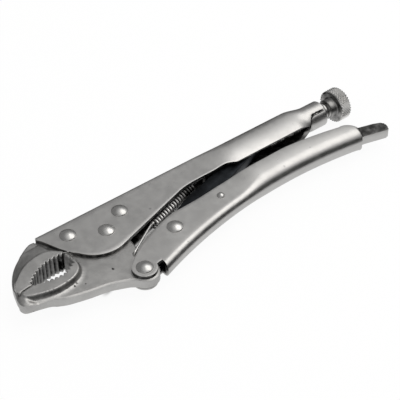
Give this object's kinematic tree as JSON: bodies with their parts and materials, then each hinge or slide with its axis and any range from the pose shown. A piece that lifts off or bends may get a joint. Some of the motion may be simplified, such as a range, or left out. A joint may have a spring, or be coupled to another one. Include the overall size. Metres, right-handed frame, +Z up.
{
  "type": "locking pliers",
  "caption": "Locking pliers: curved toothed jaws, two channel-section handles, over-centre toggle link, adjusting screw with knurled knob, and a release lever.",
  "frame": {"origin": "under the middle of the tool's box, at its lowest point, the knob's rim, with the tool lying on its side", "axes": "+X from the jaws to the adjusting knob, +Y to the fixed handle's back, +Z up, across the tool"},
  "size_m": [0.2544, 0.0644, 0.0208],
  "materials": {
    "handle_plate": "satin nickel plate",
    "jaw_forging": "plated forging, pitted",
    "rivet_steel": "polished domed heads",
    "spring_wire": "drawn wire",
    "link_steel": "dark speckled plate",
    "screw_steel": "rolled thread",
    "knob_steel": "diamond knurl"
  },
  "bodies": {
    "fixed_side": {"fixed_handle": "handle_plate", "fixed_jaw": "jaw_forging", "jaw_rivet_front": "rivet_steel", "jaw_rivet_rear": "rivet_steel", "jaw_pivot_rivet": "rivet_steel", "return_spring": "spring_wire"},
    "jaw": {"moving_jaw": "jaw_forging"},
    "lever": {"lever_handle": "handle_plate", "handle_pivot_rivet": "rivet_steel", "link_rivet": "rivet_steel", "release_rivet": "rivet_steel"},
    "link": {"toggle_link": "link_steel"},
    "release": {"release_lever": "link_steel"},
    "screw": {"adjusting_screw": "screw_steel"},
    "knob": {"screw_knob": "knob_steel"}
  },
  "joints": [
    {"name": "jaw_open", "type": "hinge", "parent": "fixed_side", "child": "jaw", "pos_m": [-0.0603, 0.012, 0.0104], "axis": [0, 0, 1], "range_deg": [0, 14.3], "deforming": ["return_spring"]},
    {"name": "lever_open", "type": "hinge", "parent": "jaw", "child": "lever", "pos_m": [-0.0616, -0.0241, 0.0104], "axis": [0, 0, -1], "range_deg": [0, 51]},
    {"name": "link_swing", "type": "hinge", "parent": "lever", "child": "link", "pos_m": [-0.0296, -0.0092, 0.0104], "axis": [0, 0, 1], "range_deg": [0, 55.1]},
    {"name": "release_lift", "type": "hinge", "parent": "lever", "child": "release", "pos_m": [0.0063, -0.0049, 0.0104], "axis": [0, 0, 1], "range_deg": [0, 5]},
    {"name": "screw_advance", "type": "slide", "parent": "fixed_side", "child": "screw", "axis": [1, 0, 0], "range_m": [0, 0.02]},
    {"name": "screw_turn", "type": "hinge", "parent": "screw", "child": "knob", "pos_m": [0.1163, 0.021, 0.0104], "axis": [1, 0, 0], "range_deg": [0, 4800]}
  ],
  "couplings": [
    {"joint": "jaw_open", "follows": "lever_open", "ratio": 0.28},
    {"joint": "link_swing", "follows": "lever_open", "ratio": 1.08},
    {"joint": "screw_turn", "follows": "screw_advance", "rad_per_m": 4188.8}
  ]
}
